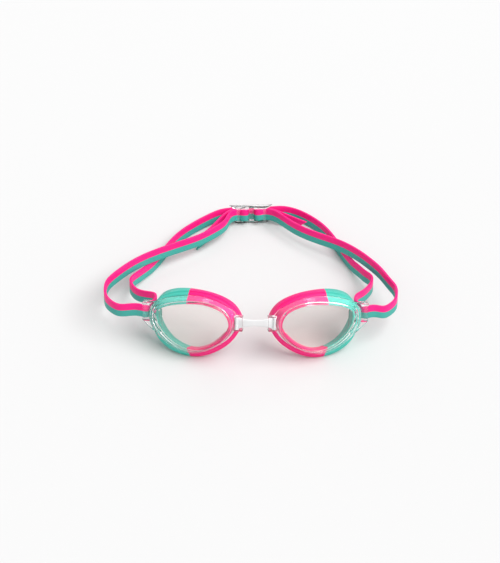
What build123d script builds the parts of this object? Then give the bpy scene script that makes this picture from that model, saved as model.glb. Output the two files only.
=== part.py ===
from build123d import *
import math
import os

# Swimming goggles standing as if worn on a table: the eyecups lean back on the lower edge of
# their gaskets, and the strap runs back to a buckle that touches the table behind them.
# Millimetres.  +X is the wearer's left, -Y is forward and +Z is up.

# ---------------------------------------------------------------- driving dimensions
RECLINE = 25.0            # lean of the goggles and of the strap's width, degrees from upright
YAW = 12.0                # outward turn of each eyecup about the goggles' upright axis, degrees
BRIDGE_HEIGHT = 35.6      # middle of the nose bridge above the table
NOSE_X = 3.3              # the goggles' middle plane: the strap's two loops differ in size
BRIDGE_Y = -71.0          # middle of the nose bridge in the row frame
EYE_SPACING = 45.0        # sideways distance from the nose to the middle of an eyecup
TURN_POINT = (12.0, -2.0) # sideways and forward place that an eyecup is turned about

FLANGE_BACK = -5.0        # the clear frame's flange, along the eyecup's own forward axis
FLANGE_FRONT = -2.6
LENS_BACK = 0.7
LENS_FRONT = 2.9
LENS_CROWN = 3.7
LINER_FRONT = -0.6        # how far forward the gasket's lining reaches inside the frame

SHOULDER_DEPTH = -6.6     # where the gasket's shoulder ends in a groove
LIP_DEPTH = -7.6          # where its sealing lip starts
OPENING_DEPTH = -13.0     # where the gasket's inside stops widening
SKIRT_DEPTH = -26.0       # the skirt before it is cut to the face
FACE_RADIUS = 100.0       # curve of the face, seen from above
FACE_MIDDLE = (-12.0, -12.0)  # sideways and forward place of the face's foremost line
COLOUR_SPLIT = {"left": 4.9, "right": 2.1}  # line between each gasket's two colours

STRAP_HEIGHT = 9.0
STRAP_THICKNESS = 1.8
STATIONS_PER_SPAN = 4     # cross-sections of the strap between two points of its route
TIP_SLANT = 1.1           # slope of the parallel cuts at the strap's two tips
TIP_STATIONS = 4          # cross-sections over which that slope dies away

POST = (33.2, -8.55)      # middle of the strap post, in the eyecup's own frame
POST_RADIUS = 1.3
POST_TURN = 2.65          # radius that the strap's middle takes round the post
STRAP_SEAT = 0.6          # middle of the strap on the post, up the eyecup
WING_FRONT = -2.4
WING_BACK = -4.4
WEB_BACK = -10.0
WEB_THICKNESS = 1.5
WEB_INNER = 29.4          # sideways reach of the webs that carry the post
WEB_OUTER = 34.6
SLOT_HEIGHT = STRAP_HEIGHT + 1.0

BEAD = (-32.0, -3.0)      # middle of the bridge's end bead, in the eyecup's own frame
BEAD_RADIUS = 1.5
BEAD_LENGTH = 9.0
BEAD_MIDDLE = -1.5        # middle of the bead, up the eyecup
RUNNING_GAP = 0.08
TAB_NASAL = -36.4
TAB_TEMPLE = -30.4
TAB_FRONT = -0.9
TAB_CAP = 0.8
MOUTH_START = 1.15        # the clip's mouth, from the bead's depth: half its height at the bead
MOUTH_FRONT = 1.15        # its front and back at the nose end, room for the bridge to swing in
MOUTH_BACK = -3.4

BRIDGE_THICKNESS = 1.8
BRIDGE_WAIST = 4.6

BUCKLE_CENTRE = (0.2, 70.0, 7.6)
BUCKLE_TURN = 3.0         # the buckle's small turn about the vertical, degrees
BUCKLE_HALF_WIDTH = 16.6
BUCKLE_FRONT = 4.3
BUCKLE_BACK = -5.8
RAIL_INNER = 4.95
RAIL_OUTER = 5.9
RAIL_FRONT_HALF = 11.2    # half width of the rails at the buckle's front
RAIL_END_FRONT = -4.6     # front of the rails at their two ends
BUCKLE_BARS = [           # each side's bars: middle, half width, back and front
    (10.1, 1.1, 3.1, BUCKLE_FRONT),
    (5.6, 0.8, -0.5, 1.7),
    (15.2, 1.2, BUCKLE_BACK, -4.8),
]
CENTRE_BAR = (1.9, -2.4, 3.1)
# Each loop of the strap in the buckle, from its tail round the inner bar and out again.
BUCKLE_LOOP = [(11.5, -1.7), (5.8, -1.8), (3.5, -1.0), (2.9, 1.0), (3.9, 2.8), (5.6, 3.2),
               (7.4, 2.4), (9.2, 1.4), (13, 2.0)]
LAYER_REAR = -3.7         # its middle in the channel at the back

# Outlines in the eyecup's own frame, sideways from its middle and up, all with their points in
# the same order: from the nose, over the top, round the temple and back under the eye.
RIM = [(-32.5, -1.5), (-30.5, 5.5), (-22.5, 10.4), (-12, 14.2), (0, 15), (12, 13.4), (22.5, 10),
       (28.6, 4.2), (29.4, -4.5), (25.5, -13), (15.5, -22), (2, -26.9), (-11, -24.2),
       (-22.5, -17.3), (-30, -9)]
LIP = [(-34.2, -3), (-31.7, 4.5), (-25.5, 11), (-14, 15.8), (0, 17.4), (12, 16), (22, 11.4),
       (27.3, 4.5), (28.5, -4), (27.1, -15.6), (17.8, -26.7), (2.5, -31.4), (-12, -28.7),
       (-24.7, -20.5), (-32, -11)]
WINDOW = [(-27.7, -0.8), (-25.4, 5), (-19.6, 9.1), (-10.5, 11.5), (-1, 11.6), (8.5, 10.4),
          (17, 8), (21.8, 4.2), (22.6, -1.8), (19.7, -9.5), (12, -17.6), (0, -22.6),
          (-11.5, -20.6), (-20.5, -14.8), (-26.3, -7.4)]
LINER = [(-26.4, -1), (-24.3, 4.5), (-18.8, 8.6), (-10.3, 11), (-1, 11.1), (8.3, 10),
         (16.5, 7.7), (21.1, 4), (21.8, -1.8), (19, -9.2), (11.6, -17), (0, -21.9),
         (-11.1, -20), (-19.8, -14.2), (-25.2, -7)]
OPENING = [(-27.5, -2), (-25, 4), (-19.5, 9), (-10, 12.8), (0, 13.8), (10, 12.6), (18, 9),
           (24.2, 3), (25.2, -4.6), (22.6, -12.6), (14.4, -20.9), (1.2, -24.9), (-9.5, -22.5),
           (-18, -16.5), (-24.5, -8.5)]
WING = [(20, 10.4), (31, 8.2), (34, 7), (34, -5), (31.5, -8), (25, -13.6), (20, -12)]

# The strap's free runs, from the buckle out to the wing (outer) and from the wing back to the
# buckle (inner), in the row frame.
LEFT_TAIL = [(38.5, 60.2, 5), (30, 64.6, 5.5), (20, 69.2, 6.7)]
LEFT_OUTER = [(22.5, 61.2, 10.7), (30, 53.7, 10.6), (37.4, 47.2, 11), (52, 37.2, 12.4),
              (66.6, 28.2, 13.6), (80.6, 15.5, 14.8), (87.2, 6.6, 16), (93.6, -4, 17.5),
              (99.6, -17.4, 19), (102.5, -24.7, 20), (102.7, -32.9, 21.2), (101.1, -39.9, 22.4),
              (97, -46.4, 23.9), (91.7, -50.6, 25.4)]
LEFT_INNER = [(74.2, -35, 20.5), (78.8, -28.7, 18), (83.8, -20.8, 15), (87.7, -9.7, 12),
              (86.8, -4.1, 10.5), (83.6, 1, 9), (80.5, 7.2, 7.2), (77.2, 13, 5.8),
              (73.9, 19, 4.9), (63.9, 40.3, 4.6), (53.2, 58.2, 4.6), (45.8, 65.7, 4.6),
              (38.3, 71.4, 4.6), (30.6, 74.9, 4.8), (22.8, 75.6, 5.4)]
RIGHT_TAIL = [(-38, 41.8, 5.2), (-33, 48, 5.3), (-27, 55.8, 6), (-18.5, 66, 7.8)]
RIGHT_OUTER = [(-19.6, 53.8, 11), (-27.1, 45.3, 11.2), (-38.1, 36.4, 11.6), (-52.7, 27.7, 12.4),
               (-67.1, 19, 13.6), (-81.2, 8.7, 14.8), (-91.3, -2.4, 16.5), (-97.7, -11.8, 18.2),
               (-101.9, -20.2, 19.5), (-102.8, -29.5, 20.8), (-100.9, -38.5, 22),
               (-96.8, -45.1, 23.7), (-90.8, -50, 25.2)]
RIGHT_INNER = [(-67.3, -35, 20.8), (-71.2, -31.7, 19), (-80.3, -25.3, 15), (-84.4, -19.3, 13),
               (-86.6, -10.8, 11.5), (-84.3, -4.1, 9.5), (-81.1, 1.5, 7.6), (-77.8, 7, 6),
               (-74.5, 12, 5), (-61, 36.4, 4.6), (-53.8, 47.2, 4.6), (-46.5, 55, 4.6),
               (-39, 61.6, 4.6), (-31.5, 67.2, 4.8), (-23.8, 71.2, 5.4)]


# ---------------------------------------------------------------- frames of reference
LEAN = math.radians(RECLINE)
UPRIGHT = Vector(0, math.sin(LEAN), math.cos(LEAN))
FORWARD = Vector(0, -math.cos(LEAN), math.sin(LEAN))
MIDDLE_PLANE = Plane.YZ.offset(NOSE_X)
BRIDGE_CENTRE = Vector(NOSE_X, BRIDGE_Y, BRIDGE_HEIGHT)
BRIDGE_PLANE = Plane(origin=BRIDGE_CENTRE, x_dir=(1, 0, 0), z_dir=FORWARD)
BUCKLE_PLANE = Plane(origin=BUCKLE_CENTRE, x_dir=Vector(1, 0, 0).rotate(Axis.Z, BUCKLE_TURN),
                     z_dir=FORWARD.rotate(Axis.Z, BUCKLE_TURN))


def eyecup_plane():
    """Frame of the wearer's left eyecup: x towards the temple, y up it and z forward."""
    turn = math.radians(YAW)
    sideways = Vector(1, 0, 0) * math.cos(turn) - FORWARD * math.sin(turn)
    ahead = Vector(1, 0, 0) * math.sin(turn) + FORWARD * math.cos(turn)
    across, depth = TURN_POINT
    origin = BRIDGE_CENTRE + Vector(across, 0, 0) + FORWARD * depth
    origin += sideways * (EYE_SPACING - across) - ahead * depth
    return Plane(origin=origin, x_dir=sideways, z_dir=ahead)


EYE_PLANE = eyecup_plane()


def mix(first, second, share):
    """Outline part of the way from the first outline to the second."""
    return [(a[0] + (b[0] - a[0]) * share, a[1] + (b[1] - a[1]) * share)
            for a, b in zip(first, second)]


def outline_face(outline, depth):
    """Flat face inside a smooth closed outline, at a depth along the eyecup's axis."""
    curve = Spline(*[(x, y, depth) for x, y in outline], periodic=True)
    return Face(Wire([curve]))


def prism(outline, back, front):
    """Straight solid between two depths."""
    return extrude(outline_face(outline, back), amount=front - back, dir=(0, 0, 1))


def taper(back_outline, back, front_outline, front):
    """Solid that changes from one outline to another between two depths."""
    faces = [outline_face(back_outline, back), outline_face(front_outline, front)]
    return loft(faces, ruled=True)


def block(low, high):
    """Box between two corners."""
    size = [b - a for a, b in zip(low, high)]
    middle = [(a + b) / 2 for a, b in zip(low, high)]
    return Pos(*middle) * Box(*size)


# ---------------------------------------------------------------- eyecup pieces
BEVEL_TOP = mix(WINDOW, RIM, 0.35)
POCKET_BACK = mix(WINDOW, RIM, 0.6)     # hollow behind the frame that the gasket lines
POCKET_FRONT = mix(WINDOW, RIM, 0.2)
SHOULDER_FRONT = mix(RIM, LIP, 0.25)
SHOULDER_BACK = mix(RIM, LIP, 0.65)


def make_lens():
    plate = prism(WINDOW, LENS_BACK, LENS_FRONT)
    crown = taper(WINDOW, LENS_FRONT, mix(WINDOW, [(0, 0)] * len(WINDOW), 0.08), LENS_CROWN)
    return plate + crown


def make_strap_wing():
    """Cover plate, upper and lower webs and the post that the strap turns round."""
    cover = extrude(Plane.XY.offset(WING_BACK) * make_face(Polyline(*WING, close=True)),
                    amount=WING_FRONT - WING_BACK)
    wing = cover
    for side in (-1, 1):
        inner = STRAP_SEAT + side * SLOT_HEIGHT / 2
        outer = inner + side * WEB_THICKNESS
        low_y, high_y = sorted((inner, outer))
        wing += block((WEB_INNER, low_y, WEB_BACK), (WEB_OUTER, high_y, WING_BACK))
    post = Cylinder(POST_RADIUS, SLOT_HEIGHT + WEB_THICKNESS, rotation=(90, 0, 0))
    return wing + Pos(POST[0], STRAP_SEAT, POST[1]) * post


def make_bridge_tab():
    """Clip at the nose side that holds the bridge's bead and leaves room for it to flex."""
    half = BEAD_LENGTH / 2 + RUNNING_GAP + TAB_CAP
    tab = block((TAB_NASAL, BEAD_MIDDLE - half, FLANGE_BACK),
                (TAB_TEMPLE, BEAD_MIDDLE + half, TAB_FRONT))
    slot_half = BEAD_LENGTH / 2 + RUNNING_GAP
    mouth = [(BEAD[0], MOUTH_START), (BEAD[0], -MOUTH_START),
             (TAB_NASAL - 1, MOUTH_BACK), (TAB_NASAL - 1, MOUTH_FRONT)]
    cutter_plane = Plane(origin=(0, BEAD_MIDDLE - slot_half, 0), x_dir=(1, 0, 0), z_dir=(0, 1, 0))
    flat = Polyline(*[(x, -BEAD[1] - depth) for x, depth in mouth], close=True)
    mouth_cut = extrude(cutter_plane * make_face(flat), amount=2 * slot_half)
    bore = Pos(BEAD[0], BEAD_MIDDLE, BEAD[1]) * Cylinder(
        BEAD_RADIUS + RUNNING_GAP, 2 * slot_half, rotation=(90, 0, 0))
    return tab, mouth_cut + bore


def make_frame():
    flange = prism(RIM, FLANGE_BACK, FLANGE_FRONT)
    bevel = taper(RIM, FLANGE_FRONT, BEVEL_TOP, LENS_FRONT)
    tab, tab_cut = make_bridge_tab()
    inside = taper(POCKET_BACK, FLANGE_BACK, POCKET_FRONT, LINER_FRONT)
    inside += prism(WINDOW, LINER_FRONT, LENS_FRONT)
    return flange + bevel + make_strap_wing() + tab - inside - tab_cut


def make_gasket():
    outside = taper(POCKET_BACK, FLANGE_BACK, POCKET_FRONT, LINER_FRONT)
    outside += taper(SHOULDER_BACK, SHOULDER_DEPTH, SHOULDER_FRONT, FLANGE_BACK)
    outside += prism(SHOULDER_BACK, LIP_DEPTH, SHOULDER_DEPTH)
    outside += prism(LIP, SKIRT_DEPTH, LIP_DEPTH)
    inside = taper(OPENING, OPENING_DEPTH, LINER, LINER_FRONT)
    inside += prism(OPENING, SKIRT_DEPTH, OPENING_DEPTH)
    face = Pos(FACE_MIDDLE[0], 0, FACE_MIDDLE[1] - FACE_RADIUS) * Cylinder(
        FACE_RADIUS, 90, rotation=(90, 0, 0))
    return outside - inside - face


def split_by_colour(gasket, split):
    """Nose part and temple part of the two-colour gasket."""
    far = 60
    nose_side = block((-far, -far, -far), (split, far, far))
    temple_side = block((split, -far, -far), (far, far, far))
    return gasket & nose_side, gasket & temple_side


def above_table(solid):
    """The soft lip lies flat where it meets the table."""
    return solid & block((-300, -300, 0), (300, 300, 200))


# ---------------------------------------------------------------- nose bridge
def make_bridge():
    """Flat bow-tie strip with an upright bead at each end."""
    bead_world = EYE_PLANE.from_local_coords((BEAD[0], BEAD_MIDDLE, BEAD[1]))
    bead_x, bead_y, bead_z = BRIDGE_PLANE.to_local_coords(bead_world)
    end_half = BEAD_LENGTH / 2 - 0.2
    neck_half = end_half - 1.1
    waist_half = BRIDGE_WAIST / 2
    edge = [(bead_x, end_half), (bead_x - 4, neck_half), (3, waist_half)]
    upper = [(-x, y) for x, y in edge] + [(x, y) for x, y in reversed(edge)]
    lower = [(x, -y) for x, y in reversed(upper)]
    strip = make_face(Polyline(*[(x, bead_y + y) for x, y in upper + lower], close=True))
    start = bead_z - BRIDGE_THICKNESS / 2
    bridge = extrude(Plane.XY.offset(start) * strip, amount=BRIDGE_THICKNESS)
    for side in (-1, 1):
        bead = Cylinder(BEAD_RADIUS, BEAD_LENGTH, rotation=(90, 0, 0))
        bridge += Pos(side * bead_x, bead_y, bead_z) * bead
    return BRIDGE_PLANE * bridge


# ---------------------------------------------------------------- buckle
def make_rail(low, high):
    """Flat rail whose front corners are cut back to let the strap out sideways."""
    half = BUCKLE_HALF_WIDTH
    profile = [(-half, BUCKLE_BACK), (half, BUCKLE_BACK), (half, RAIL_END_FRONT),
               (RAIL_FRONT_HALF, BUCKLE_FRONT), (-RAIL_FRONT_HALF, BUCKLE_FRONT),
               (-half, RAIL_END_FRONT)]
    lying = Plane(origin=(0, low, 0), x_dir=(1, 0, 0), z_dir=(0, 1, 0))
    face = lying * make_face(Polyline(*[(x, -z) for x, z in profile], close=True))
    return extrude(face, amount=high - low, dir=(0, 1, 0))


def make_buckle():
    """Clear ladder buckle: two rails joined by bars at three depths."""
    buckle = make_rail(RAIL_INNER, RAIL_OUTER) + make_rail(-RAIL_OUTER, -RAIL_INNER)
    for side in (-1, 1):
        for middle, half_width, back, front in BUCKLE_BARS:
            buckle += block((side * middle - half_width, -RAIL_OUTER, back),
                            (side * middle + half_width, RAIL_OUTER, front))
    half_width, back, front = CENTRE_BAR
    buckle += block((-half_width, -RAIL_OUTER, back), (half_width, RAIL_OUTER, front))
    return BUCKLE_PLANE * buckle


# ---------------------------------------------------------------- strap
def mirrored(point):
    return Vector(2 * NOSE_X - point.X, point.Y, point.Z)


def round_turn(centre, radius, start, end, steps):
    """Points on an arc in a frame's x-z plane, angles in degrees."""
    points = []
    for step in range(steps + 1):
        angle = math.radians(start + (end - start) * step / steps)
        points.append((centre[0] + radius * math.cos(angle), centre[1] + radius * math.sin(angle)))
    return points


def half_route(side, tail, outer, inner):
    """Route of the strap's middle from a tail's tip to the middle of the buckle's channel."""
    route = [Vector(*point) for point in tail]
    route += [BUCKLE_PLANE.from_local_coords((side * x, 0, z)) for x, z in BUCKLE_LOOP]
    route += [Vector(*point) for point in outer]
    turn = [(39.5, -6.6)] + round_turn(POST, POST_TURN, 90, 180, 3) + [(30.4, -13), (29.9, -19)]
    seat = [EYE_PLANE.from_local_coords((x, STRAP_SEAT, z)) for x, z in turn]
    route += seat if side > 0 else [mirrored(point) for point in seat]
    route += [Vector(*point) for point in inner]
    route += [BUCKLE_PLANE.from_local_coords((side * 15.5, 0, LAYER_REAR))]
    return route


def strap_route():
    left = half_route(1, LEFT_TAIL, LEFT_OUTER, LEFT_INNER)
    right = half_route(-1, RIGHT_TAIL, RIGHT_OUTER, RIGHT_INNER)
    middle = [BUCKLE_PLANE.from_local_coords((0, 0, LAYER_REAR))]
    return left + middle + right[::-1]


def make_strap(low, high):
    """Part of the strap's height, between two distances up from its middle line."""
    route = strap_route()
    path = Spline(*route)
    count = STATIONS_PER_SPAN * (len(route) - 1)
    sections = []
    for station in range(count + 1):
        place = path @ (station / count)
        along = path % (station / count)
        across = along.cross(UPRIGHT).normalized() * (STRAP_THICKNESS / 2)
        from_tip = min(station, count - station)
        lean = along.normalized() * TIP_SLANT * max(0, 1 - from_tip / TIP_STATIONS)
        rise = UPRIGHT - lean
        corners = [place + across + rise * low, place + across + rise * high,
                   place - across + rise * high, place - across + rise * low]
        sections.append(Wire.make_polygon(corners, close=True))
    return Solid.make_loft(sections, ruled=True)


# ---------------------------------------------------------------- assembly
def main():
    os.makedirs("parts", exist_ok=True)
    frame = make_frame()
    lens = make_lens()
    gasket = make_gasket()
    nodes = {}
    for side, split in COLOUR_SPLIT.items():
        nasal, temple = split_by_colour(gasket, split)
        pieces = {"lens": lens, "frame": frame, "gasket_nasal": nasal, "gasket_temple": temple}
        for name, piece in pieces.items():
            placed = above_table(EYE_PLANE * piece)
            if side == "right":
                placed = mirror(placed, about=MIDDLE_PLANE)
            nodes[side + "_" + name] = placed
    nodes["nose_bridge"] = make_bridge()
    nodes["strap_upper"] = make_strap(0, STRAP_HEIGHT / 2)
    nodes["strap_lower"] = make_strap(-STRAP_HEIGHT / 2, 0)
    nodes["buckle"] = above_table(make_buckle())
    for name, piece in nodes.items():
        export_step(piece, "parts/" + name + ".step")
    bead = EYE_PLANE.from_local_coords((BEAD[0], BEAD_MIDDLE, BEAD[1]))
    print("bridge joint", bead, "axis", UPRIGHT)
    print("strap length", round(Spline(*strap_route()).length, 1))
    box = Compound(children=[Part(piece.wrapped) for piece in nodes.values()]).bounding_box()
    print("box", box.min, box.max)


main()
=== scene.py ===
import math

import bmesh
import bpy
import numpy as np
from mathutils import Matrix, Vector


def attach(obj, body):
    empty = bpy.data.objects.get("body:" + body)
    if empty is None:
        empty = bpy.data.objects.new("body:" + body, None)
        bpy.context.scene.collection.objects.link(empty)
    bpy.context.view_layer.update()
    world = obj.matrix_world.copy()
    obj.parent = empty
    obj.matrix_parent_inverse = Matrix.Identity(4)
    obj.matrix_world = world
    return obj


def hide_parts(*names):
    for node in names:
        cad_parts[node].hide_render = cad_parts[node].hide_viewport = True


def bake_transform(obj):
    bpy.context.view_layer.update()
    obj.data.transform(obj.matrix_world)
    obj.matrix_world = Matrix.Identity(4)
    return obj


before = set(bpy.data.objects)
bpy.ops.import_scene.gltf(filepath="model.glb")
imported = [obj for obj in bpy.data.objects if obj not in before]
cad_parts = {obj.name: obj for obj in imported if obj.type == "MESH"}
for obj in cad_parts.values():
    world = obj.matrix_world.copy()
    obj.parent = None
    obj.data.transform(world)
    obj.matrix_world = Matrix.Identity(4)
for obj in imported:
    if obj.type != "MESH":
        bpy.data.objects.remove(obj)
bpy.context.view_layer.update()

# Racing swim goggles with pink and teal seals and strap, clear frames and a clear buckle.
# Metres.  Sizes are written as so many MM; +X is the wearer's left, -Y is forward, +Z is up.
MM = 0.001

# ------------------------------------------------------------------ driving sizes
RECLINE = math.radians(25)
YAW = math.radians(12)
NOSE = Vector((3.3, -71.0, 35.6)) * MM
EYE_SPACING = 45.0
TURN_POINT = (12.0, -2.0)
UPRIGHT = Vector((0, math.sin(RECLINE), math.cos(RECLINE)))
FORWARD = Vector((0, -math.cos(RECLINE), math.sin(RECLINE)))
ACROSS = Vector((1, 0, 0))

FLANGE_BACK = -5.0
FLANGE_FRONT = -2.6
LENS_BACK = 0.7
LENS_FRONT = 2.9
LENS_CROWN = 0.8
LENS_GAP = 0.03
LENS_REACH = 24.0         # about the window's mean reach from its middle
LENS_HOLLOW = 0.6         # the hollow back's share of the front's crown
LENS_EDGE_DROP = 0.15
CROWN_SHARES = [1.0, 0.985, 0.95, 0.85, 0.7, 0.5, 0.3, 0.12]
LINER_FRONT = -0.6

SHOULDER_DEPTH = -6.6
LIP_DEPTH = -7.6
OPENING_DEPTH = -13.0
FACE_RADIUS = 100.0
FACE_MIDDLE = (-12.0, -12.0)
COLOUR_SPLIT = {"left": 4.9, "right": 2.1}

POST = (33.2, -8.55)
POST_RADIUS = 1.3
POST_TURN = 2.65
STRAP_SEAT = 0.6
SLOT_HALF = 5.0
WEB_THICKNESS = 1.5
WING_FRONT = -2.4
WING_BACK = -4.4
WEB_BACK = -10.0
WEB_INNER = 29.4
WEB_OUTER = 34.6
WEB_OVERLAP = 0.3         # how far each web runs into the cover plate
WING_ROUNDING = 0.5
POST_APPROACH = (39.5, -6.6)
POST_EXIT = [(30.4, -13), (29.9, -19)]

BEAD = (-32.0, -3.0)
BEAD_RADIUS = 1.5
BEAD_LENGTH = 9.0
BEAD_MIDDLE = -1.5
TAB_NASAL = -36.4
TAB_TEMPLE = -30.4
TAB_FRONT = -0.9
TAB_BACK_STEP = 0.03      # keeps the clip's back out of the flange's own plane
TAB_MARGIN = 0.88         # clip beyond each end of the bead
TAB_ROUNDING = 0.3
BEAD_GAP = 0.08
MOUTH_HALF = 1.15
MOUTH_BACK = -3.4
MOUTH_RUN = 1.0

WAIST_HALF = 2.25         # half heights of the bridge's bow-tie strip
END_HALF = 4.3
FLARE_POWER = 2.2
BRIDGE_HALF_THICKNESS = 0.9
BRIDGE_STATIONS = 41
BRIDGE_CORNERS = 24
BRIDGE_ROUNDNESS = 0.45
BEAD_INSET = 0.1

STRAP_HEIGHT = 9.0
STRAP_THICKNESS = 1.8
STRAP_STEP = 1.2
TIP_SLANT = 1.1           # slope of the parallel cuts at the two tips
TIP_LENGTH = 10.0         # run over which that slope dies away
STRAP_ROUNDING = 0.4
SEAM_ROUNDING = 0.08      # where the two colours meet

BUCKLE_CENTRE = Vector((0.2, 70.0, 7.6)) * MM
BUCKLE_TURN = math.radians(3)
BUCKLE_LOOP = [(11.5, -1.7), (5.8, -1.8), (3.5, -1.0), (2.9, 1.0), (3.9, 2.8), (5.6, 3.2),
               (7.4, 2.4), (9.2, 1.4), (13, 2.0)]
LAYER_REAR = -3.7
CHANNEL_END = 15.5
RAIL_INNER = 4.95
RAIL_OUTER = 5.9
RAIL_HALF = 16.6
RAIL_FRONT_HALF = 11.2
RAIL_BACK = -5.8
RAIL_END_FRONT = -4.6
RAIL_FRONT = 4.3
BAR_HALF_HEIGHT = 5.3
MIDDLE_BAR = (0, 1.9, -2.4, 3.1)          # place along the buckle, half width, back and front
SIDE_BARS = [(10.1, 1.08, 3.1, 4.25), (5.6, 0.8, -0.5, 1.7), (15.2, 1.2, -5.75, -4.8)]
BUCKLE_ROUNDING = 0.25
BUCKLE_SEGMENTS = 2

# Outlines in an eyecup's own frame, in MM, from the nose over the top and back under the eye.
RIM = [(-32.5, -1.5), (-30.5, 5.5), (-22.5, 10.4), (-12, 14.2), (0, 15), (12, 13.4), (22.5, 10),
       (28.6, 4.2), (29.4, -4.5), (25.5, -13), (15.5, -22), (2, -26.9), (-11, -24.2),
       (-22.5, -17.3), (-30, -9)]
LIP = [(-34.2, -3), (-31.7, 4.5), (-25.5, 11), (-14, 15.8), (0, 17.4), (12, 16), (22, 11.4),
       (27.3, 4.5), (28.5, -4), (27.1, -15.6), (17.8, -26.7), (2.5, -31.4), (-12, -28.7),
       (-24.7, -20.5), (-32, -11)]
WINDOW = [(-27.7, -0.8), (-25.4, 5), (-19.6, 9.1), (-10.5, 11.5), (-1, 11.6), (8.5, 10.4),
          (17, 8), (21.8, 4.2), (22.6, -1.8), (19.7, -9.5), (12, -17.6), (0, -22.6),
          (-11.5, -20.6), (-20.5, -14.8), (-26.3, -7.4)]
LINER = [(-26.4, -1), (-24.3, 4.5), (-18.8, 8.6), (-10.3, 11), (-1, 11.1), (8.3, 10),
         (16.5, 7.7), (21.1, 4), (21.8, -1.8), (19, -9.2), (11.6, -17), (0, -21.9),
         (-11.1, -20), (-19.8, -14.2), (-25.2, -7)]
OPENING = [(-27.5, -2), (-25, 4), (-19.5, 9), (-10, 12.8), (0, 13.8), (10, 12.6), (18, 9),
           (24.2, 3), (25.2, -4.6), (22.6, -12.6), (14.4, -20.9), (1.2, -24.9), (-9.5, -22.5),
           (-18, -16.5), (-24.5, -8.5)]
WING = [(20, 10.4), (31, 8.2), (34, 7), (34, -5), (31.5, -8), (25, -13.6), (20, -12)]
STEPS_PER_POINT = 10      # points of a smoothed outline for each point of its list
WELD_DISTANCE = 0.002     # corners nearer than this become one after a boolean

# The strap's free runs, in MM in the row frame.
LEFT_TAIL = [(38.5, 60.2, 5), (30, 64.6, 5.5), (20, 69.2, 6.7)]
LEFT_OUTER = [(22.5, 61.2, 10.7), (30, 53.7, 10.6), (37.4, 47.2, 11), (52, 37.2, 12.4),
              (66.6, 28.2, 13.6), (80.6, 15.5, 14.8), (87.2, 6.6, 16), (93.6, -4, 17.5),
              (99.6, -17.4, 19), (102.5, -24.7, 20), (102.7, -32.9, 21.2), (101.1, -39.9, 22.4),
              (97, -46.4, 23.9), (91.7, -50.6, 25.4)]
LEFT_INNER = [(74.2, -35, 20.5), (78.8, -28.7, 18), (83.8, -20.8, 15), (87.7, -9.7, 12),
              (86.8, -4.1, 10.5), (83.6, 1, 9), (80.5, 7.2, 7.2), (77.2, 13, 5.8),
              (73.9, 19, 4.9), (63.9, 40.3, 4.6), (53.2, 58.2, 4.6), (45.8, 65.7, 4.6),
              (38.3, 71.4, 4.6), (30.6, 74.9, 4.8), (22.8, 75.6, 5.4)]
RIGHT_TAIL = [(-38, 41.8, 5.2), (-33, 48, 5.3), (-27, 55.8, 6), (-18.5, 66, 7.8)]
RIGHT_OUTER = [(-19.6, 53.8, 11), (-27.1, 45.3, 11.2), (-38.1, 36.4, 11.6), (-52.7, 27.7, 12.4),
               (-67.1, 19, 13.6), (-81.2, 8.7, 14.8), (-91.3, -2.4, 16.5), (-97.7, -11.8, 18.2),
               (-101.9, -20.2, 19.5), (-102.8, -29.5, 20.8), (-100.9, -38.5, 22),
               (-96.8, -45.1, 23.7), (-90.8, -50, 25.2)]
RIGHT_INNER = [(-67.3, -35, 20.8), (-71.2, -31.7, 19), (-80.3, -25.3, 15), (-84.4, -19.3, 13),
               (-86.6, -10.8, 11.5), (-84.3, -4.1, 9.5), (-81.1, 1.5, 7.6), (-77.8, 7, 6),
               (-74.5, 12, 5), (-61, 36.4, 4.6), (-53.8, 47.2, 4.6), (-46.5, 55, 4.6),
               (-39, 61.6, 4.6), (-31.5, 67.2, 4.8), (-23.8, 71.2, 5.4)]
SPLIT_Y = 22 * MM         # where each run is divided between the eyecups' end and the buckle's

# Light and camera.
WORLD_STRENGTH = 0.66
KEY_PLACE = (0.65, -0.15, 1.0)
KEY_SPREAD = math.radians(50)
KEY_STRENGTH = 2.55
RIM_PLACE = (0.1, 0.9, 0.85)
RIM_SIZE = 0.22
RIM_POWER = 0.4
FLOOR_GREY = 0.717
FLOOR_EXTENT = 3.0

CAMERA_ELEVATION = math.radians(45)
CAMERA_DISTANCE = 800 * MM
CAMERA_LENS = 76.0
CAMERA_ROLL = math.radians(0.35)
VIEW_RIGHT = -3.8 * MM    # the view's centre, beside and above the nose bridge as seen
VIEW_UP = 27.7 * MM
CAMERA_SENSOR = 36


# ------------------------------------------------------------------ frames of reference
class LocalFrame:
    """Right-handed frame: x across, y up it and z forward, with lengths in MM."""

    def __init__(self, origin, x_axis, z_axis):
        self.origin = origin
        self.x_axis = x_axis.normalized()
        self.z_axis = z_axis.normalized()
        self.y_axis = self.z_axis.cross(self.x_axis)

    def place(self, x, y, z):
        return self.origin + (self.x_axis * x + self.y_axis * y + self.z_axis * z) * MM


def make_eye_frame():
    across, depth = TURN_POINT
    x_axis = ACROSS * math.cos(YAW) - FORWARD * math.sin(YAW)
    z_axis = ACROSS * math.sin(YAW) + FORWARD * math.cos(YAW)
    origin = NOSE + (ACROSS * across + FORWARD * depth) * MM
    origin += (x_axis * (EYE_SPACING - across) - z_axis * depth) * MM
    return LocalFrame(origin, x_axis, z_axis)


EYE = make_eye_frame()
BRIDGE = LocalFrame(NOSE, ACROSS, FORWARD)
TURNED = Matrix.Rotation(BUCKLE_TURN, 3, "Z")
BUCKLE = LocalFrame(BUCKLE_CENTRE, TURNED @ ACROSS, TURNED @ FORWARD)


def mirrored(point):
    return Vector((2 * NOSE.x - point.x, point.y, point.z))


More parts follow.
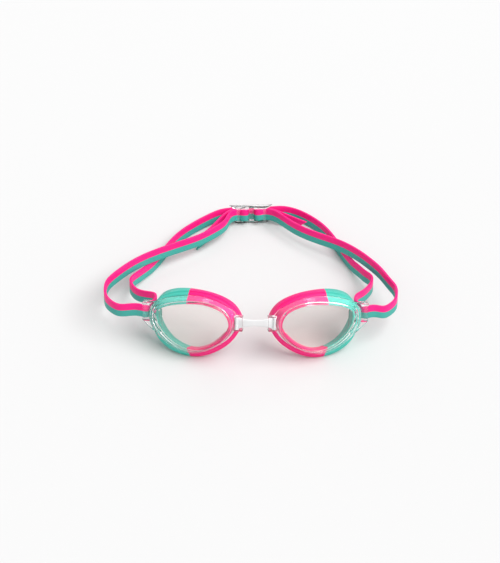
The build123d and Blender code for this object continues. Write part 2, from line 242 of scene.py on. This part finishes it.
# ------------------------------------------------------------------ curves
def second_derivatives(values, closed):
    """Second derivatives of the cubic spline through evenly spaced values."""
    count = len(values)
    system = np.zeros((count, count))
    right = np.zeros_like(values)
    for row in range(count):
        if closed or 0 < row < count - 1:
            before, after = (row - 1) % count, (row + 1) % count
            system[row, before] += 1
            system[row, row] += 4
            system[row, after] += 1
            right[row] = 6 * (values[before] - 2 * values[row] + values[after])
        else:
            system[row, row] = 1
    return np.linalg.solve(system, right)


def spline_points(points, steps, closed):
    """Points on the smooth curve through a list, so many for each span."""
    values = np.array(points, float)
    bends = second_derivatives(values, closed)
    spans = len(values) if closed else len(values) - 1
    result = []
    for span in range(spans):
        after = (span + 1) % len(values)
        for step in range(steps):
            t = step / steps
            s = 1 - t
            result.append(s * values[span] + t * values[after]
                          + ((s ** 3 - s) * bends[span] + (t ** 3 - t) * bends[after]) / 6)
    if not closed:
        result.append(values[-1])
    return np.array(result)


def smooth_outline(outline):
    return spline_points(outline, STEPS_PER_POINT, closed=True)


RIM_CURVE = smooth_outline(RIM)
LIP_CURVE = smooth_outline(LIP)
WINDOW_CURVE = smooth_outline(WINDOW)
LINER_CURVE = smooth_outline(LINER)
OPENING_CURVE = smooth_outline(OPENING)


def mix(first, second, share):
    return first + (second - first) * share


def face_depth(x):
    """Depth of the wearer's face behind the eyecup at a sideways place."""
    offset = x - FACE_MIDDLE[0]
    return FACE_MIDDLE[1] - FACE_RADIUS + np.sqrt(FACE_RADIUS ** 2 - offset ** 2)


# ------------------------------------------------------------------ meshes
def new_object(name, vertices, faces):
    mesh = bpy.data.meshes.new(name)
    mesh.from_pydata([tuple(v) for v in vertices], [], faces)
    mesh.validate()
    obj = bpy.data.objects.new(name, mesh)
    bpy.context.scene.collection.objects.link(obj)
    return obj


def recalculate_normals(obj):
    work = bmesh.new()
    work.from_mesh(obj.data)
    bmesh.ops.recalc_face_normals(work, faces=work.faces)
    work.to_mesh(obj.data)
    work.free()


def ring_object(name, rings):
    """Closed tube of quads: each ring joins the next, and the last one joins the first."""
    count = len(rings[0])
    vertices = [point for ring in rings for point in ring]
    faces = []
    for index in range(len(rings)):
        low = index * count
        high = ((index + 1) % len(rings)) * count
        for step in range(count):
            after = (step + 1) % count
            faces.append((low + step, low + after, high + after, high + step))
    obj = new_object(name, vertices, faces)
    recalculate_normals(obj)
    return obj


def capped_object(name, rings):
    """Closed solid: rings joined one to the next, with a flat cap on the first and the last."""
    count = len(rings[0])
    vertices = [point for ring in rings for point in ring]
    faces = [tuple(range(count)), tuple(range(len(vertices) - count, len(vertices)))]
    for index in range(len(rings) - 1):
        low = index * count
        for step in range(count):
            after = (step + 1) % count
            faces.append((low + step, low + after, low + count + after, low + count + step))
    obj = new_object(name, vertices, faces)
    recalculate_normals(obj)
    return obj


def eye_ring(curve, depth):
    """Ring in the left eyecup: depth is one number, or one for each point of the curve."""
    depths = np.broadcast_to(depth, len(curve))
    return [EYE.place(x, y, z) for (x, y), z in zip(curve, depths)]


def apply_modifiers(obj):
    bpy.context.view_layer.update()
    evaluated = obj.evaluated_get(bpy.context.evaluated_depsgraph_get())
    mesh = bpy.data.meshes.new_from_object(evaluated)
    old = obj.data
    obj.modifiers.clear()
    obj.data = mesh
    bpy.data.meshes.remove(old)


def round_edges(obj, width, segments=3, angle=30):
    bevel = obj.modifiers.new("rounding", "BEVEL")
    bevel.width = width * MM
    bevel.segments = segments
    bevel.limit_method = "ANGLE"
    bevel.angle_limit = math.radians(angle)
    apply_modifiers(obj)


def combine(obj, other, operation):
    """Boolean of two closed meshes; the second one is used up."""
    cut = obj.modifiers.new("combine", "BOOLEAN")
    cut.operation = operation
    cut.object = other
    cut.solver = "EXACT"
    weld = obj.modifiers.new("weld", "WELD")
    weld.merge_threshold = WELD_DISTANCE * MM
    apply_modifiers(obj)
    bpy.data.objects.remove(other)


def shade(obj, angle=35):
    """Smooth shading that keeps the edges sharper than the angle."""
    for polygon in obj.data.polygons:
        polygon.use_smooth = True
    obj.data.set_sharp_from_angle(angle=math.radians(angle))


def local_block(name, local, low, high):
    """Box in a local frame between two corners in MM."""
    corners = [(x, y, z) for x in (low[0], high[0]) for y in (low[1], high[1])
               for z in (low[2], high[2])]
    faces = [(0, 1, 3, 2), (4, 6, 7, 5), (0, 4, 5, 1), (2, 3, 7, 6), (0, 2, 6, 4), (1, 5, 7, 3)]
    obj = new_object(name, [local.place(*corner) for corner in corners], faces)
    recalculate_normals(obj)
    return obj


def local_rod(name, local, x, y, z, radius, length, sides=32):
    """Upright round rod in a local frame, centred on a point."""
    rings = []
    for end in (-length / 2, length / 2):
        rings.append([local.place(x + radius * math.cos(a), y + end, z + radius * math.sin(a))
                      for a in (2 * math.pi * n / sides for n in range(sides))])
    return capped_object(name, rings)


def mirror_in_place(obj):
    """Turns a piece of the left eyecup into the same piece of the right one."""
    for vertex in obj.data.vertices:
        vertex.co = mirrored(vertex.co)
    obj.data.flip_normals()


def finish_piece(obj, material, slot, *nodes):
    obj.data.materials.clear()
    obj.data.materials.append(material)
    if nodes:
        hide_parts(*nodes)


# ------------------------------------------------------------------ materials
def new_material(name):
    material = bpy.data.materials.new(name)
    material.use_nodes = True
    nodes = material.node_tree.nodes
    return material, nodes, material.node_tree.links, nodes["Principled BSDF"]


def add_noise(nodes, links, scale, detail=3.0):
    """Object-space noise with a scale in waves per metre."""
    place = nodes.new("ShaderNodeTexCoord")
    noise = nodes.new("ShaderNodeTexNoise")
    noise.inputs["Scale"].default_value = scale
    noise.inputs["Detail"].default_value = detail
    links.new(place.outputs["Object"], noise.inputs["Vector"])
    return noise


def add_bump(nodes, links, shader, height, strength, distance):
    bump = nodes.new("ShaderNodeBump")
    bump.inputs["Strength"].default_value = strength
    bump.inputs["Distance"].default_value = distance
    links.new(height, bump.inputs["Height"])
    links.new(bump.outputs["Normal"], shader.inputs["Normal"])


def add_range(nodes, links, value, low, high, target):
    spread = nodes.new("ShaderNodeMapRange")
    spread.inputs["To Min"].default_value = low
    spread.inputs["To Max"].default_value = high
    links.new(value, spread.inputs["Value"])
    links.new(spread.outputs["Result"], target)


def make_silicone(name, light, dark, roughness, translucency):
    """Satin moulded silicone: slow colour drift, fine matt grain and a little light inside."""
    material, nodes, links, shader = new_material(name)
    drift = add_noise(nodes, links, 90, 2.0)
    blend = nodes.new("ShaderNodeMix")
    blend.data_type = "RGBA"
    blend.inputs["A"].default_value = (*dark, 1)
    blend.inputs["B"].default_value = (*light, 1)
    links.new(drift.outputs["Fac"], blend.inputs["Factor"])
    links.new(blend.outputs["Result"], shader.inputs["Base Color"])
    grain = add_noise(nodes, links, 5200, 2.0)
    add_range(nodes, links, grain.outputs["Fac"], roughness - 0.06, roughness + 0.08,
              shader.inputs["Roughness"])
    add_bump(nodes, links, shader, grain.outputs["Fac"], 0.12, 0.0001)
    shader.inputs["Subsurface Weight"].default_value = translucency
    shader.inputs["Subsurface Radius"].default_value = (0.003, 0.0015, 0.0015)
    shader.inputs["Subsurface Scale"].default_value = 0.4
    shader.inputs["IOR"].default_value = 1.41
    return material


def make_clear(name, tint, roughness, clarity, lamp_tint):
    """Clear moulded plastic that bends light, but lets lamps light what is behind it."""
    material, nodes, links, shader = new_material(name)
    shader.inputs["Base Color"].default_value = (*tint, 1)
    shader.inputs["Transmission Weight"].default_value = clarity
    shader.inputs["IOR"].default_value = 1.5
    flow = add_noise(nodes, links, 320, 2.0)
    add_range(nodes, links, flow.outputs["Fac"], roughness, roughness + 0.03,
              shader.inputs["Roughness"])
    add_bump(nodes, links, shader, flow.outputs["Fac"], 0.04, 0.0002)
    lamp = nodes.new("ShaderNodeBsdfTransparent")
    lamp.inputs["Color"].default_value = (*lamp_tint, 1)
    path = nodes.new("ShaderNodeLightPath")
    choose = nodes.new("ShaderNodeMixShader")
    output = nodes["Material Output"]
    links.new(path.outputs["Is Shadow Ray"], choose.inputs["Fac"])
    links.new(shader.outputs["BSDF"], choose.inputs[1])
    links.new(lamp.outputs["BSDF"], choose.inputs[2])
    links.new(choose.outputs["Shader"], output.inputs["Surface"])
    return material


def make_white(name):
    """Satin white plastic that glows slightly where it is thin."""
    material, nodes, links, shader = new_material(name)
    shade_noise = add_noise(nodes, links, 160, 2.0)
    blend = nodes.new("ShaderNodeMix")
    blend.data_type = "RGBA"
    blend.inputs["A"].default_value = (0.74, 0.74, 0.745, 1)
    blend.inputs["B"].default_value = (0.8, 0.8, 0.805, 1)
    links.new(shade_noise.outputs["Fac"], blend.inputs["Factor"])
    links.new(blend.outputs["Result"], shader.inputs["Base Color"])
    grain = add_noise(nodes, links, 4200, 2.0)
    add_range(nodes, links, grain.outputs["Fac"], 0.32, 0.44, shader.inputs["Roughness"])
    add_bump(nodes, links, shader, grain.outputs["Fac"], 0.08, 0.0001)
    shader.inputs["Subsurface Weight"].default_value = 0.25
    shader.inputs["Subsurface Radius"].default_value = (0.003, 0.003, 0.003)
    shader.inputs["Subsurface Scale"].default_value = 0.5
    return material


PINK = make_silicone("pink_silicone", (0.97, 0.008, 0.225), (0.93, 0.005, 0.195), 0.42, 0.12)
TEAL = make_silicone("teal_silicone", (0.07, 0.56, 0.455), (0.055, 0.50, 0.405), 0.42, 0.12)
STRAP_PINK = make_silicone("strap_pink", (0.96, 0.008, 0.24), (0.92, 0.005, 0.21), 0.45, 0.08)
STRAP_TEAL = make_silicone("strap_teal", (0.055, 0.40, 0.345), (0.045, 0.36, 0.31), 0.45, 0.08)
CLEAR = make_clear("clear_plastic", (0.97, 0.975, 0.975), 0.02, 0.985, (0.95, 0.96, 0.96))
LENS = make_clear("lens_tint", (0.93, 0.885, 0.86), 0.01, 1.0, (0.95, 0.905, 0.885))
WHITE = make_white("white_plastic")


# ------------------------------------------------------------------ eyecups
def build_lens():
    """Window plate with a low crown in front and a hollow back of the same curve."""
    curve = WINDOW_CURVE * (1 - LENS_GAP / LENS_REACH)
    middle = WINDOW_CURVE.mean(axis=0)
    rings = []
    for share in reversed(CROWN_SHARES):
        ring = middle + (curve - middle) * share
        rings.append(eye_ring(ring, LENS_BACK + LENS_CROWN * LENS_HOLLOW * (1 - share ** 2)))
    for share in CROWN_SHARES:
        ring = middle + (curve - middle) * share
        drop = LENS_EDGE_DROP if share == 1 else 0.0
        rings.append(eye_ring(ring, LENS_FRONT - drop + LENS_CROWN * (1 - share ** 2)))
    lens = capped_object("left_lens_shell", rings)
    shade(lens, 50)
    return lens


def frame_profile():
    """Rings round the clear frame's section, from the flange's back edge outwards."""
    bevel_top = mix(WINDOW_CURVE, RIM_CURVE, 0.35)
    pocket_back = mix(WINDOW_CURVE, RIM_CURVE, 0.6)
    pocket_front = mix(WINDOW_CURVE, RIM_CURVE, 0.2)
    return [
        eye_ring(mix(RIM_CURVE, WINDOW_CURVE, 0.05), FLANGE_BACK),
        eye_ring(RIM_CURVE, FLANGE_BACK + 0.3),
        eye_ring(RIM_CURVE, FLANGE_FRONT - 0.3),
        eye_ring(mix(RIM_CURVE, bevel_top, 0.06), FLANGE_FRONT),
        eye_ring(mix(RIM_CURVE, bevel_top, 0.5), (FLANGE_FRONT + LENS_FRONT) / 2),
        eye_ring(mix(RIM_CURVE, bevel_top, 0.92), LENS_FRONT - 0.45),
        eye_ring(mix(bevel_top, WINDOW_CURVE, 0.15), LENS_FRONT),
        eye_ring(mix(bevel_top, WINDOW_CURVE, 0.85), LENS_FRONT),
        eye_ring(WINDOW_CURVE, LENS_FRONT - 0.2),
        eye_ring(WINDOW_CURVE, LINER_FRONT + 0.1),
        eye_ring(mix(WINDOW_CURVE, pocket_front, 0.3), LINER_FRONT),
        eye_ring(pocket_front, LINER_FRONT),
        eye_ring(pocket_back, FLANGE_BACK + 0.1),
        eye_ring(mix(pocket_back, RIM_CURVE, 0.1), FLANGE_BACK),
    ]


def build_wing():
    """Cover plate in front, webs above and below, and the post that the strap turns round."""
    rings = [[EYE.place(x, y, depth) for x, y in WING] for depth in (WING_BACK, WING_FRONT)]
    wing = capped_object("wing", rings)
    round_edges(wing, WING_ROUNDING)
    for side in (-1, 1):
        inner = STRAP_SEAT + side * SLOT_HALF
        low, high = sorted((inner, inner + side * WEB_THICKNESS))
        web = local_block("web", EYE, (WEB_INNER, low, WEB_BACK),
                          (WEB_OUTER, high, WING_BACK + WEB_OVERLAP))
        combine(wing, web, "UNION")
    post = local_rod("post", EYE, POST[0], STRAP_SEAT, POST[1], POST_RADIUS,
                     2 * SLOT_HALF + WEB_THICKNESS)
    combine(wing, post, "UNION")
    return wing


def build_clip():
    """Clip at the nose side that the bridge's bead snaps into."""
    half = BEAD_LENGTH / 2 + TAB_MARGIN
    clip = local_block("clip", EYE, (TAB_NASAL, BEAD_MIDDLE - half, FLANGE_BACK + TAB_BACK_STEP),
                       (TAB_TEMPLE, BEAD_MIDDLE + half, TAB_FRONT))
    round_edges(clip, TAB_ROUNDING)
    slot_half = BEAD_LENGTH / 2 + BEAD_GAP
    mouth = [(BEAD[0], -MOUTH_HALF), (BEAD[0], MOUTH_HALF),
             (TAB_NASAL - MOUTH_RUN, MOUTH_HALF), (TAB_NASAL - MOUTH_RUN, MOUTH_BACK)]
    rings = [[EYE.place(x, BEAD_MIDDLE + end, BEAD[1] + z) for x, z in mouth]
             for end in (-slot_half, slot_half)]
    combine(clip, capped_object("mouth", rings), "DIFFERENCE")
    bore = local_rod("bore", EYE, BEAD[0], BEAD_MIDDLE, BEAD[1], BEAD_RADIUS + BEAD_GAP,
                     2 * slot_half)
    combine(clip, bore, "DIFFERENCE")
    return clip


def build_frame():
    ring = ring_object("left_frame_shell", frame_profile())
    combine(ring, build_wing(), "UNION")
    combine(ring, build_clip(), "UNION")
    shade(ring, 30)
    return ring


def gasket_profile():
    """Rings round the seal's section: lining, shoulder, groove, lip, face side and inside."""
    shoulder_front = mix(RIM_CURVE, LIP_CURVE, 0.25)
    shoulder_back = mix(RIM_CURVE, LIP_CURVE, 0.65)
    pocket_back = mix(WINDOW_CURVE, RIM_CURVE, 0.59)
    pocket_front = mix(WINDOW_CURVE, RIM_CURVE, 0.19)
    back = face_depth(LIP_CURVE[:, 0])
    return [
        eye_ring(mix(LINER_CURVE, pocket_front, 0.15), LINER_FRONT - 0.03),
        eye_ring(mix(LINER_CURVE, pocket_front, 0.85), LINER_FRONT - 0.03),
        eye_ring(pocket_front, LINER_FRONT - 0.15),
        eye_ring(pocket_back, FLANGE_BACK - 0.02),
        eye_ring(mix(shoulder_front, pocket_back, 0.08), FLANGE_BACK - 0.02),
        eye_ring(shoulder_front, FLANGE_BACK - 0.12),
        eye_ring(mix(shoulder_front, shoulder_back, 0.55), FLANGE_BACK - 0.65),
        eye_ring(mix(shoulder_front, shoulder_back, 0.92), SHOULDER_DEPTH + 0.3),
        eye_ring(shoulder_back, SHOULDER_DEPTH),
        eye_ring(mix(shoulder_back, RIM_CURVE, 0.12), SHOULDER_DEPTH - 0.4),
        eye_ring(mix(shoulder_back, RIM_CURVE, 0.12), LIP_DEPTH),
        eye_ring(mix(shoulder_back, LIP_CURVE, 0.55), LIP_DEPTH - 0.1),
        eye_ring(mix(shoulder_back, LIP_CURVE, 0.9), LIP_DEPTH - 0.35),
        eye_ring(LIP_CURVE, LIP_DEPTH - 0.9),
        eye_ring(LIP_CURVE, mix(LIP_DEPTH, back, 0.5)),
        eye_ring(LIP_CURVE, back + 1.0),
        eye_ring(mix(LIP_CURVE, OPENING_CURVE, 0.05), back + 0.25),
        eye_ring(mix(LIP_CURVE, OPENING_CURVE, 0.25), back),
        eye_ring(mix(LIP_CURVE, OPENING_CURVE, 0.75), back),
        eye_ring(mix(OPENING_CURVE, LIP_CURVE, 0.06), back + 0.3),
        eye_ring(OPENING_CURVE, back + 0.8),
        eye_ring(OPENING_CURVE, np.maximum(OPENING_DEPTH, back + 1.2)),
        eye_ring(mix(OPENING_CURVE, LINER_CURVE, 0.5), (OPENING_DEPTH + LINER_FRONT) / 2),
        eye_ring(LINER_CURVE, LINER_FRONT - 0.3),
    ]


def halve(obj, name, split, keep_temple):
    """The part of an eyecup ring on one side of the line between the two colours."""
    half = obj.copy()
    half.data = obj.data.copy()
    half.name = name
    bpy.context.scene.collection.objects.link(half)
    work = bmesh.new()
    work.from_mesh(half.data)
    normal = -EYE.x_axis if keep_temple else EYE.x_axis
    cut = bmesh.ops.bisect_plane(work, geom=work.verts[:] + work.edges[:] + work.faces[:],
                                 plane_co=EYE.place(split, 0, 0), plane_no=normal,
                                 clear_outer=True)
    edges = [item for item in cut["geom_cut"] if isinstance(item, bmesh.types.BMEdge)]
    bmesh.ops.holes_fill(work, edges=edges)
    bmesh.ops.recalc_face_normals(work, faces=work.faces)
    work.to_mesh(half.data)
    work.free()
    return half


def rest_on_table(obj):
    """The soft lip is flattened where it meets the table."""
    for vertex in obj.data.vertices:
        vertex.co.z = max(vertex.co.z, 0)


def build_gaskets():
    """Pink nose half and teal temple half of each eyecup's seal."""
    ring = ring_object("gasket", gasket_profile())
    rest_on_table(ring)
    for side, split in COLOUR_SPLIT.items():
        halves = (("gasket_nasal", False, PINK, "pink_silicone"),
                  ("gasket_temple", True, TEAL, "teal_silicone"))
        for part, keep_temple, material, slot in halves:
            piece = halve(ring, f"{side}_{part}_shell", split, keep_temple)
            if side == "right":
                mirror_in_place(piece)
            shade(piece, 40)
            finish_piece(piece, material, slot, f"{side}_{part}")
            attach(piece, f"{side}_eyecup")
    bpy.data.objects.remove(ring)


def build_eyecups():
    build_gaskets()
    for part, left_piece, material, slot in (("lens", build_lens(), LENS, "lens"),
                                             ("frame", build_frame(), CLEAR, "clear_plastic")):
        right_piece = left_piece.copy()
        right_piece.data = left_piece.data.copy()
        right_piece.name = f"right_{part}_shell"
        bpy.context.scene.collection.objects.link(right_piece)
        mirror_in_place(right_piece)
        for side, piece in (("left", left_piece), ("right", right_piece)):
            finish_piece(piece, material, slot, f"{side}_{part}")
            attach(piece, f"{side}_eyecup")


# ------------------------------------------------------------------ nose bridge
def bridge_half_height(reach):
    """Half height of the bow-tie strip at a share of the way from its middle to a bead."""
    return WAIST_HALF + (END_HALF - WAIST_HALF) * reach ** FLARE_POWER


def build_bridge():
    bead = EYE.place(BEAD[0], BEAD_MIDDLE, BEAD[1]) - NOSE
    bead_x = bead.x / MM
    bead_y = bead.dot(UPRIGHT) / MM
    bead_z = bead.dot(FORWARD) / MM
    rings = []
    for station in range(BRIDGE_STATIONS):
        reach = -1 + 2 * station / (BRIDGE_STATIONS - 1)
        tall = bridge_half_height(abs(reach))
        ring = []
        for corner in range(BRIDGE_CORNERS):
            angle = 2 * math.pi * (corner + 0.5) / BRIDGE_CORNERS
            up = math.copysign(abs(math.sin(angle)) ** BRIDGE_ROUNDNESS, math.sin(angle))
            out = math.copysign(abs(math.cos(angle)) ** BRIDGE_ROUNDNESS, math.cos(angle))
            ring.append(BRIDGE.place(reach * bead_x, bead_y + tall * up,
                                     bead_z + BRIDGE_HALF_THICKNESS * out))
        rings.append(ring)
    bridge = capped_object("nose_bridge_shell", rings)
    for side in (-1, 1):
        rod = local_rod("bead", BRIDGE, side * bead_x, bead_y, bead_z, BEAD_RADIUS,
                        BEAD_LENGTH - BEAD_INSET)
        combine(bridge, rod, "UNION")
    shade(bridge, 40)
    finish_piece(bridge, WHITE, "white_plastic", "nose_bridge")
    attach(bridge, "bridge_and_strap")


# ------------------------------------------------------------------ buckle
def build_rail(low, high):
    """Long side of the buckle, between two heights: a low back and a sloping front."""
    profile = [(-RAIL_HALF, RAIL_BACK), (RAIL_HALF, RAIL_BACK), (RAIL_HALF, RAIL_END_FRONT),
               (RAIL_FRONT_HALF, RAIL_FRONT), (-RAIL_FRONT_HALF, RAIL_FRONT),
               (-RAIL_HALF, RAIL_END_FRONT)]
    rings = [[BUCKLE.place(x, y, z) for x, z in profile] for y in (low, high)]
    rail = capped_object("rail", rings)
    round_edges(rail, BUCKLE_ROUNDING, BUCKLE_SEGMENTS)
    return rail


def build_buckle():
    buckle = build_rail(RAIL_INNER, RAIL_OUTER)
    buckle.name = "buckle_shell"
    combine(buckle, build_rail(-RAIL_OUTER, -RAIL_INNER), "UNION")
    bars = [MIDDLE_BAR]
    for side in (-1, 1):
        bars += [(side * middle, half, back, front) for middle, half, back, front in SIDE_BARS]
    for middle, half, back, front in bars:
        bar = local_block("bar", BUCKLE, (middle - half, -BAR_HALF_HEIGHT, back),
                          (middle + half, BAR_HALF_HEIGHT, front))
        round_edges(bar, BUCKLE_ROUNDING, BUCKLE_SEGMENTS)
        combine(buckle, bar, "UNION")
    for vertex in buckle.data.vertices:
        vertex.co.z = max(vertex.co.z, 0)
    shade(buckle, 40)
    finish_piece(buckle, CLEAR, "clear_plastic", "buckle")
    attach(buckle, "buckle")


# ------------------------------------------------------------------ strap
def arc(centre, radius, start, end, steps):
    points = []
    for step in range(steps + 1):
        angle = math.radians(start + (end - start) * step / steps)
        points.append((centre[0] + radius * math.cos(angle), centre[1] + radius * math.sin(angle)))
    return points


def half_route(side, tail, outer, inner):
    """Route of the strap's middle from a tail's tip to the buckle's rear channel."""
    route = [Vector(point) * MM for point in tail]
    route += [BUCKLE.place(side * x, 0, z) for x, z in BUCKLE_LOOP]
    route += [Vector(point) * MM for point in outer]
    turn = [POST_APPROACH] + arc(POST, POST_TURN, 90, 180, 3) + POST_EXIT
    seat = [EYE.place(x, STRAP_SEAT, z) for x, z in turn]
    route += seat if side > 0 else [mirrored(point) for point in seat]
    route += [Vector(point) * MM for point in inner]
    route += [BUCKLE.place(side * CHANNEL_END, 0, LAYER_REAR)]
    return route


def chord_spline(points, step):
    """Evenly spaced points on the smooth curve through points that are far from even."""
    points = np.array(points, float)
    knots = np.concatenate([[0], np.cumsum(np.linalg.norm(np.diff(points, axis=0), axis=1))])
    count = len(points)
    system = np.zeros((count, count))
    right = np.zeros_like(points)
    system[0, 0] = system[-1, -1] = 1
    for row in range(1, count - 1):
        before, after = knots[row] - knots[row - 1], knots[row + 1] - knots[row]
        system[row, row - 1] = before
        system[row, row] = 2 * (before + after)
        system[row, row + 1] = after
        right[row] = 6 * ((points[row + 1] - points[row]) / after
                          - (points[row] - points[row - 1]) / before)
    bends = np.linalg.solve(system, right)
    places = np.linspace(0, knots[-1], int(knots[-1] / step) + 1)
    spans = np.clip(np.searchsorted(knots, places, side="right") - 1, 0, count - 2)
    width = (knots[spans + 1] - knots[spans])[:, None]
    t = (places - knots[spans])[:, None] / width
    s = 1 - t
    return (s * points[spans] + t * points[spans + 1]
            + ((s ** 3 - s) * bends[spans] + (t ** 3 - t) * bends[spans + 1]) * width ** 2 / 6)


def strap_section(low, high, seam_high):
    """Corners of one colour's section: across the thickness and up the height, in MM."""
    half = STRAP_THICKNESS / 2
    top = SEAM_ROUNDING if seam_high else STRAP_ROUNDING
    bottom = STRAP_ROUNDING if seam_high else SEAM_ROUNDING
    corners = []
    for across, up, radius, start in ((half, low, bottom, -90), (half, high, top, 0),
                                      (-half, high, top, 90), (-half, low, bottom, 180)):
        centre = (across - math.copysign(radius, across), up + (radius if up == low else -radius))
        corners += arc(centre, radius, start, start + 90, 3)
    return corners


def strap_piece(name, line, tangents, leans, section, material, slot):
    rings = []
    for place, along, lean in zip(line, tangents, leans):
        direction = Vector(along).normalized()
        across = direction.cross(UPRIGHT).normalized()
        rise = UPRIGHT - direction * lean
        middle = Vector(place)
        rings.append([middle + (across * x + rise * y) * MM for x, y in section])
    piece = capped_object(name, rings)
    shade(piece, 50)
    finish_piece(piece, material, slot)
    return piece


def build_strap():
    left = half_route(1, LEFT_TAIL, LEFT_OUTER, LEFT_INNER)
    right = half_route(-1, RIGHT_TAIL, RIGHT_OUTER, RIGHT_INNER)
    middle = [BUCKLE.place(0, 0, LAYER_REAR)]
    line = chord_spline(left + middle + right[::-1], STRAP_STEP * MM)
    tangents = np.gradient(line, axis=0)
    from_tip = np.minimum(np.arange(len(line)), np.arange(len(line))[::-1]) * STRAP_STEP
    leans = TIP_SLANT * np.maximum(0, 1 - from_tip / TIP_LENGTH)
    behind = line[:, 1] > SPLIT_Y
    changes = [index for index in range(1, len(line)) if behind[index] != behind[index - 1]]
    cuts = [0] + changes + [len(line) - 1]
    names = ["left_rear_outer", "left_front", "rear_inner", "right_front", "right_rear_outer"]
    half = STRAP_HEIGHT / 2
    colours = (("upper", strap_section(0, half, False), STRAP_PINK, "strap_pink"),
               ("lower", strap_section(-half, 0, True), STRAP_TEAL, "strap_teal"))
    for colour, section, material, slot in colours:
        for number, name in enumerate(names):
            span = slice(cuts[number], cuts[number + 1] + 1)
            piece = strap_piece(f"strap_{colour}_{name}", line[span], tangents[span],
                                leans[span], section, material, slot)
            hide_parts(f"strap_{colour}")
            if name.endswith("front"):
                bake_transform(piece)
            else:
                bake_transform(piece)


# ------------------------------------------------------------------ stage, light and camera
def add_lamp(kind, name, location, target):
    light = bpy.data.lights.new(name, kind)
    lamp = bpy.data.objects.new(name, light)
    bpy.context.scene.collection.objects.link(lamp)
    lamp.location = location
    aim = (Vector(target) - Vector(location)).normalized()
    lamp.rotation_euler = aim.to_track_quat("-Z", "Y").to_euler()
    return light


def build_stage():
    extent = FLOOR_EXTENT
    floor = new_object("floor", [(-extent, -extent, 0), (extent, -extent, 0), (extent, extent, 0),
                                 (-extent, extent, 0)], [(0, 1, 2, 3)])
    material, nodes, links, shader = new_material("floor_paper")
    shader.inputs["Base Color"].default_value = (FLOOR_GREY,) * 3 + (1,)
    shader.inputs["Roughness"].default_value = 0.9
    shader.inputs["Specular IOR Level"].default_value = 0.1
    floor.data.materials.append(material)
    world = bpy.data.worlds.new("studio")
    world.use_nodes = True
    world.node_tree.nodes["Background"].inputs["Color"].default_value = (1, 1, 1, 1)
    world.node_tree.nodes["Background"].inputs["Strength"].default_value = WORLD_STRENGTH
    bpy.context.scene.world = world
    key = add_lamp("SUN", "key", KEY_PLACE, (0, 0, 0))
    key.angle = KEY_SPREAD
    key.energy = KEY_STRENGTH
    rim = add_lamp("AREA", "rim", RIM_PLACE, (0, 0, 0))
    rim.size = RIM_SIZE
    rim.energy = RIM_POWER


def build_camera():
    camera_data = bpy.data.cameras.new("camera")
    camera_data.lens = CAMERA_LENS
    camera_data.sensor_width = CAMERA_SENSOR
    camera = bpy.data.objects.new("camera", camera_data)
    bpy.context.scene.collection.objects.link(camera)
    towards = Vector((0, math.cos(CAMERA_ELEVATION), -math.sin(CAMERA_ELEVATION)))
    up = Vector((0, math.sin(CAMERA_ELEVATION), math.cos(CAMERA_ELEVATION)))
    centre = NOSE + ACROSS * VIEW_RIGHT + up * VIEW_UP
    camera.location = centre - towards * CAMERA_DISTANCE
    level = towards.to_track_quat("-Z", "Y").to_matrix()
    camera.rotation_euler = (level @ Matrix.Rotation(CAMERA_ROLL, 3, "Z")).to_euler()
    bpy.context.scene.camera = camera


def main():
    build_camera()
    build_stage()
    build_eyecups()
    build_bridge()
    build_buckle()
    build_strap()
    bpy.context.scene.view_settings.view_transform = "Standard"
    bpy.context.scene.view_settings.look = "None"


main()
